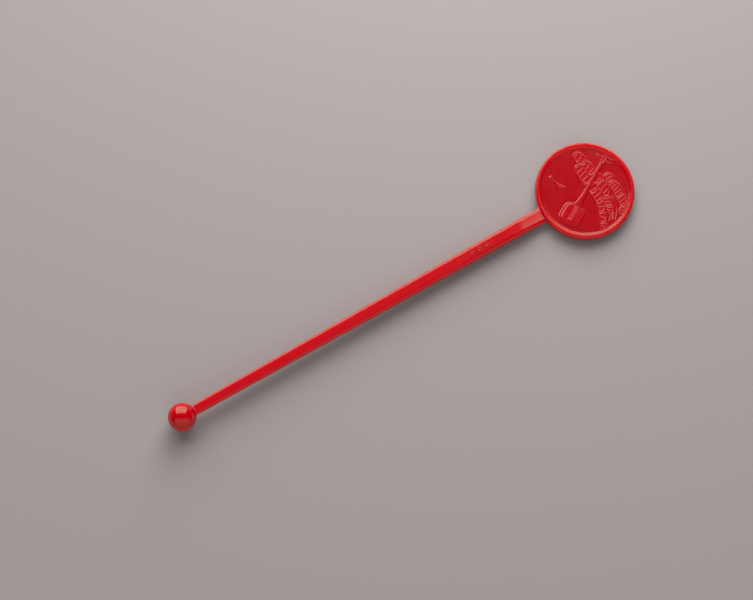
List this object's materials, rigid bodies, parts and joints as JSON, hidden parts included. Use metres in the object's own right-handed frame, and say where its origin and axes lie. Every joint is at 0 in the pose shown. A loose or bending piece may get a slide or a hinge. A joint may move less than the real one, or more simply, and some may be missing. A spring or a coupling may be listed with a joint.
{
  "type": "swizzle stick",
  "caption": "Moulded drink stirrer with a ball tip, a straight tapering stem and a round medallion with a raised rim and a relief of a long-necked lute among hatched clouds.",
  "frame": {"origin": "under the middle of the overall length, at the height of the ball's lowest point", "axes": "+X along the stem from the ball towards the medallion, +Z out of the medallion's relief face, +Y completes a right-handed frame"},
  "size_m": [0.1524, 0.029, 0.0082],
  "materials": {
    "moulded_stem": "red polystyrene, high gloss from polished tool steel, with faint lengthwise flow lines",
    "moulded_field": "red polystyrene, softer gloss, with a faint texture from the engraved tool",
    "moulded_rim": "red polystyrene, high gloss, with turning marks round the ring",
    "moulded_relief": "red polystyrene, gloss with soft rounded engraving edges"
  },
  "bodies": {
    "root": {"ball_tip": "moulded_stem", "stem": "moulded_stem", "stem_root": "moulded_stem", "stem_mark": "moulded_stem", "disc_web": "moulded_field", "disc_rim": "moulded_rim", "lute_body": "moulded_relief", "lute_neck": "moulded_relief", "lute_head": "moulded_relief", "lute_pegs": "moulded_relief", "lute_bridge": "moulded_relief", "lute_strings": "moulded_relief", "plectrum": "moulded_relief", "cloud_low": "moulded_relief", "cloud_long": "moulded_relief", "cloud_top": "moulded_relief", "cloud_small": "moulded_relief", "cloud_ribs": "moulded_relief", "wind_lines": "moulded_relief"}
  },
  "joints": []
}
